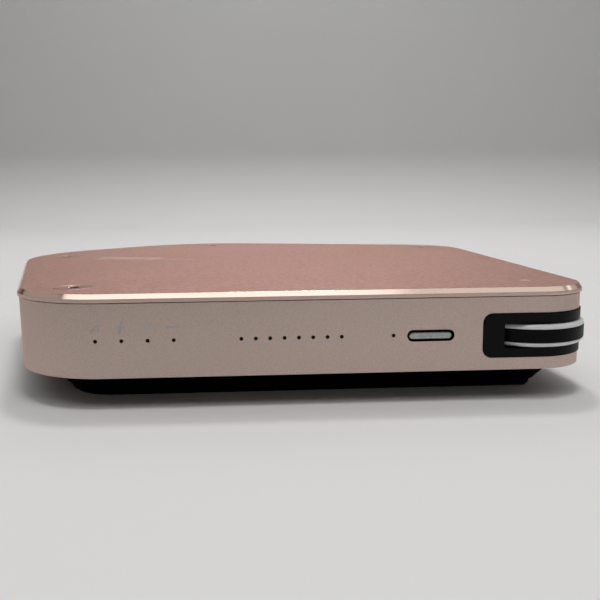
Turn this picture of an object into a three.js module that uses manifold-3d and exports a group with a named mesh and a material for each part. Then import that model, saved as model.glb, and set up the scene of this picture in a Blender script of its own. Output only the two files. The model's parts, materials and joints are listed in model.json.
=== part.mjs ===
// A five-sided power bank with a thumb wheel let into one corner.
// Millimetres, +Z up. The plan's zero is the sharp corner in front of the wheel: x falls along the front
// face, y rises along the right face. The outline is the same on both sides of the line y = -x.
// Heights are counted from the surface that the foot pad stands on.
import * as THREE from "three";
import { mergeVertices } from "three/addons/utils/BufferGeometryUtils.js";
import Module from "manifold-3d";

const wasm = await Module();
wasm.setup();

// Outline of the top plate
const longSide = 103.44; // front face and right face, corner to sharp corner
const shortSide = 90.76; // left face and rear right face
const sideTurn = 73; // degrees that the outline turns at the front left and at the right corner
const backTurn = 62; // degrees that it turns at the two back corners
const wheelCornerR = 10.3;
const sideCornerR = 19.3;
const backCornerR = 35.5;
const arcSteps = 8; // flats along each rounded corner

// Heights
const height = 20.7;
const plateThickness = 1.5;
const shadowGap = 0.18; // between plate and body, where the gasket lies
const bodyBottom = 5.7;
const coverBottom = 1.55;
const coverFloor = 3.1;
const flangeTop = 7.2;
const plateBottom = height - plateThickness;
const bodyTop = plateBottom - shadowGap;

// Insets of the walls from the plate's outline
const bodyInset = 0.29;
const wallInset = bodyInset + 2;
const coverInset = 4.2;
const footInset = 8.85;

// Running gaps
const faceGap = 0.05; // between faces that lie on each other
const slipGap = 0.12; // round a piece that is let into another
const looseGap = 0.3; // round a piece in a cut-out

// Thumb wheel, on an upright axle at the centre of its corner's arc
const wheelX = -wheelCornerR;
const wheelY = wheelCornerR;
const wheelR = 11;
const wheelBottom = 9.77;
const wheelTop = 13.9;
const wheelRound = 0.79; // of its two rims
const bandBottom = wheelBottom + wheelRound;
const bandTop = wheelTop - wheelRound;
const axleR = 1.1;
const axleGap = 0.05;
const axleFoot = 4.6; // its lower end, in the base cover
const axleFootR = 2;
const bushR = 2.6;

// Bezel round the wheel
const bezelReach = 21.5; // from the corner, along each face
const bezelBottom = 7.9;
const bezelTop = 16.1;
const bezelCornerR = 1.75;
const bezelProud = 0.25; // stands out of the body's face
const slotReach = 17.6;
const slotBottom = 9.57;
const slotTop = 14.33;
const flangeInset = 3.3; // the bezel's inner face

// Front face
const lightZ = 12.4;
const lightHoleR = 0.35;
const statusX = [-90.17, -85.64, -81.11, -76.58];
const gaugeCount = 8;
const gaugePitch = 2.54;
const gaugeX = -64.77; // first of the row
const powerLightX = -37.7;
const buttonX = -30.96;
const buttonZ = 12.28;
const buttonWidth = 8;
const buttonHeight = 1.66;
const buttonGap = 0.22; // round the cap in its slot
const buttonRecess = 0.25;
const buttonTravel = 0.35;

// Screws
const plateScrewR = 1.75;
const plateScrewHeadR = 3.4;
const plateScrewLength = 8.5;
const baseScrewR = 1.25;
const baseScrewHeadR = 2.3;
const baseScrewShift = 4.6; // from the plate's screw towards the middle
const bossR = 4.4; // round the plate's screw
const ribHalfWidth = 2.9; // of the rib from the wall past both screws

// Boards
const boardThickness = 1.6;
const mainBoard = { x0: -92, x1: -24, y0: 3.8, y1: 16, top: 11.8 };
const portBoardTop = 9.35;
const leadR = 0.7;
const ports = { first: 25.5, second: 43, small: 58.8 }; // along the rear right face, from the right corner
const wideShell = { width: 13.2, height: 5.8, cornerR: 0.6 };
const smallShell = { width: 8.94, height: 3.26 };
const shellWall = 0.35;
const wideZ = portBoardTop + faceGap + wideShell.height / 2;
const smallZ = portBoardTop + faceGap + smallShell.height / 2;

// Cells
const cell = { x0: -101.5, x1: -11.5, y0: 24, y1: 84, thickness: 6.5 };
const spacerThickness = 0.4;

// ---- Materials ----

function material(name, color, roughness, metalness) {
  return new THREE.MeshStandardMaterial({ name, color, roughness, metalness });
}

const anodised = () => material("anodised", 0xb08d82, 0.42, 0.9);
const satinPlate = () => material("satin_plate", 0xa98578, 0.35, 0.9);
const blackPlastic = () => material("black_plastic", 0x101211, 0.5, 0);
const rubber = () => material("rubber", 0x0c0c0c, 0.85, 0);
const whitePlastic = () => material("white_plastic", 0xc9ccc6, 0.3, 0);
const silver = () => material("silver", 0xa8aba5, 0.35, 0.9);
const steel = () => material("steel", 0xb9b6b3, 0.25, 1);
const brass = () => material("brass", 0xb59a55, 0.35, 1);
const circuitBoard = () => material("circuit_board", 0x1d4a2b, 0.5, 0);
const chip = () => material("chip", 0x161616, 0.6, 0);
const lens = () => material("lens", 0xe4e6e4, 0.2, 0);
const ferrite = () => material("ferrite", 0x3b3d40, 0.7, 0);
const foil = () => material("foil", 0xa9adb2, 0.35, 0.8);
const foam = () => material("foam", 0x2b2b2d, 0.95, 0);
const redWire = () => material("red_wire", 0xa51f1c, 0.5, 0);
const blackWire = () => material("black_wire", 0x151515, 0.5, 0);

// ---- Solids from three.js geometry ----

function solidOf(geometry) {
  const bare = geometry.index ? geometry.toNonIndexed() : geometry.clone();
  bare.deleteAttribute("normal");
  bare.deleteAttribute("uv");
  const merged = mergeVertices(bare, 1e-4);
  return new wasm.Manifold(
    new wasm.Mesh({
      numProp: 3,
      vertProperties: merged.attributes.position.array,
      triVerts: new Uint32Array(merged.index.array),
    }),
  );
}

function geometryOf(solid) {
  const { vertProperties, triVerts } = solid.getMesh();
  const geometry = new THREE.BufferGeometry();
  geometry.setAttribute("position", new THREE.BufferAttribute(vertProperties, 3));
  geometry.setIndex(new THREE.BufferAttribute(triVerts, 1));
  geometry.computeVertexNormals();
  return geometry;
}

function joined(...solids) {
  return solids.reduce((all, next) => all.add(next));
}

function cutBy(solid, ...tools) {
  return tools.reduce((left, tool) => left.subtract(tool), solid);
}

function box(x0, x1, y0, y1, z0, z1) {
  const geometry = new THREE.BoxGeometry(x1 - x0, y1 - y0, z1 - z0);
  return solidOf(geometry.translate((x0 + x1) / 2, (y0 + y1) / 2, (z0 + z1) / 2));
}

function prism(shape, z0, z1, curveSegments = arcSteps) {
  const geometry = new THREE.ExtrudeGeometry(shape, { depth: z1 - z0, bevelEnabled: false, curveSegments });
  return solidOf(geometry.translate(0, 0, z0));
}

// An upright prism whose top edge, or bottom edge, slopes in by run over a height of rise.
function slopedPrism(shape, z0, z1, run, rise, atTop) {
  const geometry = new THREE.ExtrudeGeometry(shape, {
    depth: z1 - z0,
    bevelThickness: rise,
    bevelSize: run,
    bevelOffset: -run,
    bevelSegments: 1,
    curveSegments: arcSteps,
  });
  const reach = 200;
  const low = atTop ? z0 - 2 * rise - 1 : z1;
  const high = atTop ? z0 : z1 + 2 * rise + 1;
  return solidOf(geometry.translate(0, 0, atTop ? z0 - rise : z0 + rise)).subtract(
    box(-reach, reach, -reach, reach, low, high),
  );
}

// An upright bar with round ends, centred on two points of the plan.
function ribBetween(from, to, halfWidth, z0, z1) {
  const across = Math.hypot(to.x - from.x, to.y - from.y);
  const geometry = new THREE.ExtrudeGeometry(stadium(across + 2 * halfWidth, 2 * halfWidth), {
    depth: z1 - z0,
    bevelEnabled: false,
    curveSegments: 4,
  });
  geometry.rotateZ(Math.atan2(to.y - from.y, to.x - from.x));
  return solidOf(geometry.translate((from.x + to.x) / 2, (from.y + to.y) / 2, z0));
}

// A horizontal prism along y, from a shape drawn in x and z about the point x, z.
function prismAlongY(shape, x, z, y0, y1, curveSegments = arcSteps) {
  const geometry = new THREE.ExtrudeGeometry(shape, { depth: y1 - y0, bevelEnabled: false, curveSegments });
  return solidOf(geometry.rotateX(Math.PI / 2).translate(x, y1, z));
}

function rod(x, y, radius, z0, z1, sides = 20, topRadius = radius) {
  const geometry = new THREE.CylinderGeometry(topRadius, radius, z1 - z0, sides);
  return solidOf(geometry.rotateX(Math.PI / 2).translate(x, y, (z0 + z1) / 2));
}

function rodAlongY(x, z, radius, y0, y1, sides = 8) {
  const geometry = new THREE.CylinderGeometry(radius, radius, y1 - y0, sides);
  return solidOf(geometry.translate(x, (y0 + y1) / 2, z));
}

// A solid of revolution about an upright axis, from radius and height pairs run up the outside.
function turned(x, y, profile, sides) {
  const points = profile.map(([r, z]) => new THREE.Vector2(r, z));
  const geometry = new THREE.LatheGeometry(points, sides);
  return solidOf(geometry.rotateX(Math.PI / 2).translate(x, y, 0));
}

function stadium(width, tall) {
  const r = tall / 2;
  const shape = new THREE.Shape();
  shape.absarc(width / 2 - r, 0, r, -Math.PI / 2, Math.PI / 2);
  shape.absarc(r - width / 2, 0, r, Math.PI / 2, (3 * Math.PI) / 2);
  return shape;
}

function roundedRect(x0, x1, z0, z1, r) {
  const shape = new THREE.Shape();
  shape.absarc(x1 - r, z0 + r, r, -Math.PI / 2, 0);
  shape.absarc(x1 - r, z1 - r, r, 0, Math.PI / 2);
  shape.absarc(x0 + r, z1 - r, r, Math.PI / 2, Math.PI);
  shape.absarc(x0 + r, z0 + r, r, Math.PI, (3 * Math.PI) / 2);
  return shape;
}

function centredRect(width, tall, r) {
  return roundedRect(-width / 2, width / 2, -tall / 2, tall / 2, r);
}

function quarterTurned(solid) {
  return solidOf(geometryOf(solid).rotateZ(Math.PI / 2));
}

// ---- The outline ----

// Each corner's arc is tangent to its two sides, so an inset outline keeps the centres.
function outlineCorners() {
  const degree = Math.PI / 180;
  const diagonal = (90 + sideTurn) * degree;
  const backSide = Math.SQRT2 * (longSide + shortSide * (Math.cos(diagonal) + Math.sin(diagonal)));
  const legs = [
    { length: longSide, turn: sideTurn, radius: sideCornerR },
    { length: shortSide, turn: backTurn, radius: backCornerR },
    { length: backSide, turn: backTurn, radius: backCornerR },
    { length: shortSide, turn: sideTurn, radius: sideCornerR },
    { length: longSide, turn: 90, radius: wheelCornerR },
  ];
  const corners = [];
  let heading = 90 * degree;
  const at = new THREE.Vector2(0, 0);
  for (const { length, turn, radius } of legs) {
    const along = new THREE.Vector2(Math.cos(heading), Math.sin(heading));
    const inward = new THREE.Vector2(-along.y, along.x);
    at.addScaledVector(along, length);
    const centre = at.clone();
    centre.addScaledVector(along, -radius * Math.tan((turn * degree) / 2));
    centre.addScaledVector(inward, radius);
    corners.push({ centre, radius, start: heading - Math.PI / 2, end: heading - Math.PI / 2 + turn * degree });
    heading += turn * degree;
  }
  return corners;
}

const corners = outlineCorners();

function outline(inset) {
  const shape = new THREE.Shape();
  for (const { centre, radius, start, end } of corners) {
    shape.absarc(centre.x, centre.y, radius - inset, start, end);
  }
  return shape;
}

function ring(outer, inner, z0, z1) {
  return prism(outline(outer), z0, z1).subtract(prism(outline(inner), z0 - 1, z1 + 1));
}

// ---- Places that several pieces share ----

const screwPlaces = [
  { x: -96.2, y: 10.4 },
  { x: -10.4, y: 96.2 },
  { x: -77.5, y: 115.9 },
  { x: -115.9, y: 77.5 },
];
const middle = new THREE.Vector2(-longSide / 2, longSide / 2);

function towardsMiddle({ x, y }, distance) {
  const inward = middle.clone().sub(new THREE.Vector2(x, y)).normalize();
  return { x: x + inward.x * distance, y: y + inward.y * distance };
}

const baseScrewPlaces = screwPlaces.map((place) => towardsMiddle(place, baseScrewShift));

// A corner's rib with the boss of its plate screw.
function cornerBoss(place, grow, z0, z1) {
  const rib = ribBetween(towardsMiddle(place, -8), towardsMiddle(place, baseScrewShift), ribHalfWidth + grow, z0, z1);
  return rib.add(rod(place.x, place.y, bossR + grow, z0, z1, 16));
}

const postPlaces = [
  { x: -82, y: 13.2 },
  { x: -62, y: 13.2 },
  { x: -42, y: 13.2 },
];
const gaugePlaces = Array.from({ length: gaugeCount }, (_, i) => gaugeX + i * gaugePitch);
const lightPlaces = [...statusX, ...gaugePlaces, powerLightX];

// The rear right face's own frame: x along the face from the right corner, y straight in.
const portFace = new THREE.Group();
portFace.position.set(0, longSide, 0);
portFace.rotation.z = ((90 + sideTurn) * Math.PI) / 180;
portFace.updateMatrix();

function inPortFace(solid) {
  return solidOf(geometryOf(solid).applyMatrix4(portFace.matrix));
}

// ---- The group ----

const powerBank = new THREE.Group();
powerBank.add(portFace);

function addMesh(name, solid, look, parent = powerBank) {
  const mesh = new THREE.Mesh(geometryOf(solid), look);
  mesh.name = name;
  parent.add(mesh);
}

// ---- Screws ----

function countersunkSolid(x, y, grow) {
  const headBottom = height - (plateScrewHeadR - plateScrewR);
  const cone = rod(x, y, plateScrewR + grow, headBottom, height, 20, plateScrewHeadR + grow);
  return cone.add(rod(x, y, plateScrewR + grow, height - plateScrewLength - grow, headBottom, 12));
}

function buildPlateScrews() {
  const socketDepth = 1.2;
  const sunk = 0.08; // the head stands this much below the plate's face
  screwPlaces.forEach(({ x, y }, i) => {
    const socket = rod(x, y, 1.25, height - socketDepth, height + 1, 6);
    const screw = countersunkSolid(x, y, 0).subtract(box(x - 5, x + 5, y - 5, y + 5, height - sunk, height + 1));
    addMesh(`plate_screw_${i + 1}`, screw.subtract(socket), steel());
  });
}

function buildBaseScrews() {
  const headBottom = coverBottom + 0.15;
  const headTop = headBottom + 1;
  baseScrewPlaces.forEach(({ x, y }, i) => {
    const head = rod(x, y, baseScrewHeadR, headBottom, headTop, 16);
    const shank = rod(x, y, baseScrewR, headTop - 0.1, flangeTop + 4, 10);
    const socket = rod(x, y, 0.8, headBottom - 1, headBottom + 0.6, 6);
    addMesh(`base_screw_${i + 1}`, head.add(shank).subtract(socket), steel());
  });
}

// ---- Housing ----

function buildTopPlate() {
  const edgeRun = 0.63;
  const edgeRise = 0.83;
  let plate = slopedPrism(outline(0), plateBottom, height, edgeRun, edgeRise, true);
  for (const { x, y } of screwPlaces) {
    plate = plate.subtract(countersunkSolid(x, y, slipGap));
  }
  plate = plate.subtract(rod(wheelX, wheelY, axleR + slipGap, plateBottom - 1, height + 1, 20));
  addMesh("top_plate", plate, satinPlate());
}

function buildGasket() {
  const gasket = ring(bodyInset + 0.4, wallInset, bodyTop + faceGap, plateBottom - faceGap);
  addMesh("plate_gasket", gasket, rubber());
}

// The wheel's window in a wall: on the front face and on the right face, open across the corner.
function cornerWindow(reach, z0, z1, r, grow = 0) {
  const past = 3; // beyond the corner
  const arm = (x0, x1) =>
    prismAlongY(roundedRect(x0, x1, z0 - grow, z1 + grow, r + grow), 0, 0, -1, wheelCornerR);
  return arm(-reach - grow, past).add(quarterTurned(arm(-past, reach + grow)));
}

function portOpenings(grow) {
  const depth = [-1, wallInset + 1];
  const wideShape = centredRect(wideShell.width + 2 * grow, wideShell.height + 2 * grow, wideShell.cornerR);
  const smallShape = stadium(smallShell.width + 2 * grow, smallShell.height + 2 * grow);
  return joined(
    prismAlongY(wideShape, ports.first, wideZ, ...depth),
    prismAlongY(wideShape, ports.second, wideZ, ...depth),
    prismAlongY(smallShape, ports.small, smallZ, ...depth),
  );
}

function buildBodyFrame() {
  let frame = ring(bodyInset, wallInset, bodyBottom, bodyTop);
  const inside = prism(outline(bodyInset + 0.5), flangeTop, height);
  for (const place of screwPlaces) {
    frame = frame.add(cornerBoss(place, 0, flangeTop + looseGap, bodyTop).intersect(inside));
  }
  for (const { x, y } of screwPlaces) {
    frame = frame.subtract(countersunkSolid(x, y, slipGap));
  }
  for (const { x, y } of baseScrewPlaces) {
    frame = frame.subtract(rod(x, y, baseScrewR + slipGap, flangeTop, flangeTop + 4.5, 10));
  }
  for (const x of lightPlaces) {
    frame = frame.subtract(rodAlongY(x, lightZ, lightHoleR, -1, wallInset + 1));
  }
  const buttonSlot = stadium(buttonWidth + 2 * buttonGap, buttonHeight + 2 * buttonGap);
  frame = frame.subtract(prismAlongY(buttonSlot, buttonX, buttonZ, -1, wallInset + 1));
  frame = frame.subtract(cornerWindow(bezelReach, bezelBottom, bezelTop, bezelCornerR));
  frame = frame.subtract(inPortFace(portOpenings(slipGap * 2)));
  addMesh("body_frame", frame, anodised());
}

function buildBezel() {
  const lip = 1.3; // how far the flange reaches behind the wall
  const window = cornerWindow(bezelReach, bezelBottom, bezelTop, bezelCornerR, -slipGap);
  const behind = cornerWindow(bezelReach + lip, flangeTop + 0.2, bezelTop + lip - 0.4, 0.5);
  const face = ring(bodyInset - bezelProud, flangeInset, bezelBottom, bezelTop).intersect(window);
  const flange = ring(wallInset + slipGap, flangeInset, flangeTop, bodyTop).intersect(behind);
  const slot = cornerWindow(slotReach, slotBottom, slotTop, 0.4);
  const wheelRoom = rod(wheelX, wheelY, wheelR + 0.4, slotBottom, slotTop, 32);
  addMesh("corner_bezel", cutBy(face.add(flange), slot, wheelRoom), blackPlastic());
}

function buildBaseCover() {
  const slope = bodyBottom - coverBottom; // at 45 degrees
  const tray = slopedPrism(outline(coverInset), coverBottom, flangeTop, slope, slope, false);
  const flange = prism(outline(wallInset + slipGap), bodyBottom + 0.2, flangeTop);
  const hollow = prism(outline(coverInset + 4.3), coverFloor, flangeTop + 1);
  let cover = tray.add(flange).subtract(hollow);
  for (const { x, y } of baseScrewPlaces) {
    cover = cover.add(rod(x, y, 3.6, coverFloor - 0.5, flangeTop, 16));
    cover = cover.subtract(rod(x, y, baseScrewHeadR + slipGap, 0, coverBottom + 1.15 + slipGap, 16));
    cover = cover.subtract(rod(x, y, baseScrewR + slipGap, 0, flangeTop + 1, 10));
  }
  cover = cover.add(rod(wheelX, wheelY, 4, coverFloor - 0.5, flangeTop, 20).intersect(tray));
  cover = cover.subtract(rod(wheelX, wheelY, axleFootR + slipGap, axleFoot - faceGap, flangeTop + 1, 24));
  for (const { x, y } of postPlaces) {
    const postTop = mainBoard.top - boardThickness - faceGap;
    cover = cover.add(rod(x, y, 2.2, coverFloor - 0.5, postTop, 12));
    cover = cover.subtract(rod(x, y, 0.9, coverFloor, postTop + 1, 8));
  }
  addMesh("base_cover", cover, blackPlastic());
}

function buildFootPad() {
  const edgeRun = 0.7;
  const edgeRise = 0.8;
  const pad = slopedPrism(outline(footInset), 0, coverBottom - faceGap, edgeRun, edgeRise, false);
  addMesh("foot_pad", pad, rubber());
}

// ---- Thumb wheel ----

function tube(inner, outer, z0, z1, sides) {
  return rod(wheelX, wheelY, outer, z0, z1, sides).subtract(rod(wheelX, wheelY, inner, z0 - 1, z1 + 1, sides));
}

// The wheel's rounded rim as radius and height pairs, from the flat face at z out to the band.
function rimRound(z, side) {
  const steps = 4;
  return Array.from({ length: steps + 1 }, (_, i) => {
    const angle = ((i / steps) * Math.PI) / 2;
    const r = wheelR - wheelRound * (1 - Math.sin(angle));
    return [r, z + side * wheelRound * (1 - Math.cos(angle))];
  });
}

function buildWheel() {
  const sides = 60;
  const grooveR = wheelR - 0.7;
  const wheelBore = bushR + slipGap / 2;
  const core = turned(
    wheelX,
    wheelY,
    [
      [wheelBore, wheelBottom],
      ...rimRound(wheelBottom, 1),
      [grooveR, bandBottom],
      [grooveR, bandTop],
      ...rimRound(wheelTop, -1).reverse(),
      [wheelBore, wheelTop],
      [wheelBore, wheelBottom],
    ],
    sides,
  );
  addMesh("wheel_core", core, whitePlastic());
  addMesh("wheel_band", tube(grooveR + faceGap, wheelR, bandBottom + faceGap, bandTop - faceGap, sides), rubber());
  addMesh("wheel_bush", tube(axleR + axleGap, bushR, wheelBottom - 0.2, wheelTop + 0.2, 24), brass());
  addMesh("wheel_magnet", tube(3.2, 5, wheelBottom - 1.05, wheelBottom - faceGap, 24), ferrite());
}

function buildWheelSeat() {
  const boardBottom = flangeTop + faceGap;
  const boardTop = boardBottom + 0.7;
  const shoulder = wheelBottom - 0.27;
  const axle = rod(wheelX, wheelY, axleR, axleFoot, height - 0.03, 24).add(
    rod(wheelX, wheelY, axleFootR, axleFoot, shoulder, 24),
  );
  const board = cutBy(
    box(wheelX - 7, wheelX + 4.6, wheelY - 4.6, wheelY + 7, boardBottom, boardTop),
    rod(wheelX, wheelY, axleFootR + looseGap, boardBottom - 1, boardTop + 1, 24),
  );
  const sensor = box(wheelX - 5.6, wheelX - 2.7, wheelY - 1.5, wheelY + 1.5, boardTop + faceGap, boardTop + 0.6);
  addMesh("wheel_axle", axle, steel());
  addMesh("axle_spacer", tube(axleR + slipGap, 2.4, wheelTop + 0.3, plateBottom - faceGap, 20), blackPlastic());
  addMesh("encoder_board", board, circuitBoard());
  addMesh("hall_sensor", sensor, chip());
}

// ---- Power button ----

function buildButton() {
  const front = bodyInset + buttonRecess;
  const flangeFront = wallInset + faceGap;
  const flangeBack = flangeFront + 0.6;
  const switchFront = flangeBack + 0.5;
  const cap = prismAlongY(stadium(buttonWidth, buttonHeight), buttonX, buttonZ, front, flangeBack - 0.1);
  const flange = prismAlongY(stadium(buttonWidth + 1.6, buttonHeight + 1.2), buttonX, buttonZ, flangeFront, flangeBack);
  const plungerY = flangeBack + faceGap;
  const plunger = { halfWidth: 0.9, low: mainBoard.top + 0.3, high: mainBoard.top + 0.95 };
  const body = cutBy(
    box(buttonX - 2.3, buttonX + 2.3, mainBoard.y0 + 0.1, 6.6, mainBoard.top + faceGap, mainBoard.top + 1.4),
    box(
      buttonX - plunger.halfWidth - slipGap,
      buttonX + plunger.halfWidth + slipGap,
      switchFront - 1,
      5.6,
      plunger.low - slipGap,
      plunger.high + slipGap,
    ),
  );
  const stem = box(
    buttonX - plunger.halfWidth,
    buttonX + plunger.halfWidth,
    plungerY,
    5.6 - buttonTravel - slipGap,
    plunger.low,
    plunger.high,
  );
  addMesh("power_button", cap.add(flange), silver());
  addMesh("switch_plunger", stem, blackPlastic());
  addMesh("tact_switch", body, steel());
}

// ---- Lights ----

const guideFront = wallInset + 0.25;
const guideThickness = 0.7;

// A clear bar behind the wall with a pin into each of its holes.
function lightGuide(places) {
  const pinR = lightHoleR - 0.07;
  const [left, right] = [places[0] - 1, places.at(-1) + 1];
  let guide = box(left, right, guideFront, guideFront + guideThickness, lightZ - 0.5, lightZ + 0.6);
  for (const x of places) {
    guide = guide.add(rodAlongY(x, lightZ, pinR, bodyInset + 0.45, guideFront + 0.1));
  }
  return guide;
}

function buildLights() {
  const back = guideFront + guideThickness + slipGap;
  const low = mainBoard.top + faceGap;
  const seated = mainBoard.y0 + 0.5;
  const led = (x) => box(x - 0.8, x + 0.8, back, seated + 0.6, low, low + 1.1);
  addMesh("status_light_guide", lightGuide(statusX), lens());
  addMesh("gauge_light_guide", lightGuide(gaugePlaces), lens());
  addMesh("power_light_guide", lightGuide([powerLightX]), lens());
  statusX.forEach((x, i) => addMesh(`status_led_${i + 1}`, led(x), lens()));
  addMesh("power_led", led(powerLightX), lens());
  const array = box(gaugePlaces[0] - 1.3, gaugePlaces.at(-1) + 1.3, back, seated + 2.4, low, low + 1.3);
  addMesh("gauge_led_array", array, lens());
}

// ---- Main board ----

function buildMainBoard() {
  const { x0, x1, y0, y1, top } = mainBoard;
  const bottom = top - boardThickness;
  const screwBottom = coverFloor + 1.5;
  let board = box(x0, x1, y0, y1, bottom, top);
  board = board.subtract(cornerBoss(screwPlaces[0], looseGap, bottom - 1, top + 1));
  postPlaces.forEach(({ x, y }, i) => {
    board = board.subtract(rod(x, y, 1.1, bottom - 1, top + 1, 12));
    const head = rod(x, y, 1.9, top + faceGap, top + 1.2, 14);
    const shank = rod(x, y, 0.8, screwBottom, top + 0.2, 8);
    const cross = joined(
      box(x - 1, x + 1, y - 0.2, y + 0.2, top + 0.7, top + 2),
      box(x - 0.2, x + 0.2, y - 1, y + 1, top + 0.7, top + 2),
    );
    addMesh(`board_screw_${i + 1}`, head.add(shank).subtract(cross), steel());
  });
  addMesh("main_board", board, circuitBoard());
  addMesh("controller_chip", box(-56, -49, 8.6, 15.6, top + faceGap, top + 0.95), chip());
}

// ---- Ports and power board, in the rear right face's own frame ----

function buildPort(name, shape, inner, tongue, x, z, back) {
  const mouth = bodyInset + 0.3;
  const shell = prismAlongY(shape, x, z, mouth, back).subtract(prismAlongY(inner, x, z, mouth - 1, back - shellWall));
  const { halfWidth, low, high, start } = tongue;
  const blade = box(x - halfWidth, x + halfWidth, mouth + start, back - shellWall - faceGap, z + low, z + high);
  addMesh(`${name}_shell`, shell, steel(), portFace);
  addMesh(`${name}_tongue`, blade, blackPlastic(), portFace);
}

function buildPorts() {
  const outside = centredRect(wideShell.width, wideShell.height, wideShell.cornerR);
  const inside = centredRect(wideShell.width - 2 * shellWall, wideShell.height - 2 * shellWall, 0.3);
  const smallOutside = stadium(smallShell.width, smallShell.height);
  const smallInside = stadium(smallShell.width - 0.6, smallShell.height - 0.6);
  const wideTongue = { halfWidth: 5.5, low: 0.3, high: 2.2, start: 1 };
  const smallTongue = { halfWidth: 3.35, low: -0.35, high: 0.35, start: 0.8 };
  buildPort("usb_a_1", outside, inside, wideTongue, ports.first, wideZ, 14.6);
  buildPort("usb_a_2", outside, inside, wideTongue, ports.second, wideZ, 14.6);
  buildPort("usb_c", smallOutside, smallInside, smallTongue, ports.small, smallZ, 8.4);
}

function buildPortBoard() {
  const shape = new THREE.Shape();
  const [left, right, step] = [17, 68.5, 42];
  const [edge, shallow, deep] = [3.2, 21.5, 31];
  shape.moveTo(left, edge);
  shape.lineTo(right, edge);
  shape.lineTo(right, deep);
  shape.lineTo(step, deep);
  shape.lineTo(step, shallow);
  shape.lineTo(left, shallow);
  const top = portBoardTop;
  const low = top + faceGap;
  addMesh("port_board", prism(shape, top - boardThickness, top), circuitBoard(), portFace);
  const inductor = (x, y) =>
    box(x - 3.6, x + 3.6, y - 3.6, y + 3.6, low, low + 1).add(rod(x, y, 3.3, low, low + 5, 16));
  addMesh("power_inductor_1", inductor(48, 25.5), ferrite(), portFace);
  addMesh("power_inductor_2", inductor(57, 25.5), ferrite(), portFace);
  const capacitor = (x) =>
    box(x - 2.6, x + 2.6, 15.7, 20.9, low, low + 0.9).add(rod(x, 18.3, 2.5, low, low + 5.6, 16));
  addMesh("output_capacitor_1", capacitor(30), foil(), portFace);
  addMesh("output_capacitor_2", capacitor(38), foil(), portFace);
  addMesh("converter_chip", box(56, 62, 14, 20, low, low + 0.9), chip(), portFace);
}

// ---- Cells, leads and the cable between the boards ----

function lead(points, radius, steps) {
  const section = new THREE.Shape();
  section.absarc(0, 0, radius, 0, 2 * Math.PI);
  const path = new THREE.CatmullRomCurve3(points.map((p) => new THREE.Vector3(...p)), false, "centripetal");
  return solidOf(new THREE.ExtrudeGeometry(section, { extrudePath: path, steps, curveSegments: 4 }));
}

function buildCells() {
  const { x0, x1, y0, y1, thickness } = cell;
  const layers = [
    { name: "lower_cell", thick: thickness, look: foil },
    { name: "cell_spacer", thick: spacerThickness, look: foam },
    { name: "upper_cell", thick: thickness, look: foil },
  ];
  let z = coverFloor + faceGap;
  for (const { name, thick, look } of layers) {
    addMesh(name, box(x0, x1, y0, y1, z, z + thick), look());
    z += thick + faceGap;
  }
  addMesh("cell_foam", box(x0 + 8, x1 - 8, y0 + 6, y1 - 6, z, plateBottom - faceGap), foam());
}

function buildWiring() {
  const stripTop = 8.3;
  const strip = box(cell.x0 - 4, cell.x0 - 0.5, 38, 70, stripTop - 0.8, stripTop);
  const onStrip = stripTop + faceGap + leadR;
  const onBoard = portBoardTop + faceGap + leadR;
  const route = (shift) => [
    [cell.x0 - 3.2 + shift, 60 + shift, onStrip],
    [cell.x0 - 3.2 + shift, 76, onStrip],
    [-103.8 + shift, 88.6 - shift, onStrip + 0.3],
    [-96 + shift, 95 - shift, onStrip + 0.8],
    [-82, 98 - shift, onBoard],
    [-68, 99 - shift, onBoard],
  ];
  addMesh("protection_board", strip, circuitBoard());
  addMesh("lead_positive", lead(route(0), leadR, 22), redWire());
  addMesh("lead_negative", lead(route(1.7), leadR, 22), blackWire());
  const onMain = mainBoard.top + faceGap + leadR;
  const cable = [
    [-34, 11, onMain],
    [-34, 17, onMain],
    [-29, 21.9, onMain - 2],
    [-12, 22.2, 8.7],
    [-6.4, 25.8, 8.6],
    [-6.4, 50, 8.6],
    [-7, 78, 8.6],
    [-12, 86.5, 9.4],
    [-24, 91, onBoard],
  ];
  addMesh("board_cable", lead(cable, leadR, 36), blackWire());
}

// ---- Assembly ----

buildPlateScrews();
buildBaseScrews();
buildTopPlate();
buildGasket();
buildBodyFrame();
buildBezel();
buildBaseCover();
buildFootPad();
buildWheel();
buildWheelSeat();
buildButton();
buildLights();
buildMainBoard();
buildPorts();
buildPortBoard();
buildCells();
buildWiring();

// The origin is in the middle of the whole, on the surface that it stands on.
const bounds = new THREE.Box3().setFromObject(powerBank);
powerBank.position.set(-(bounds.min.x + bounds.max.x) / 2, -(bounds.min.y + bounds.max.y) / 2, 0);

export default powerBank;
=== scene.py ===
import json
import math

import bmesh
import bpy
from mathutils import Matrix, Vector


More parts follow.
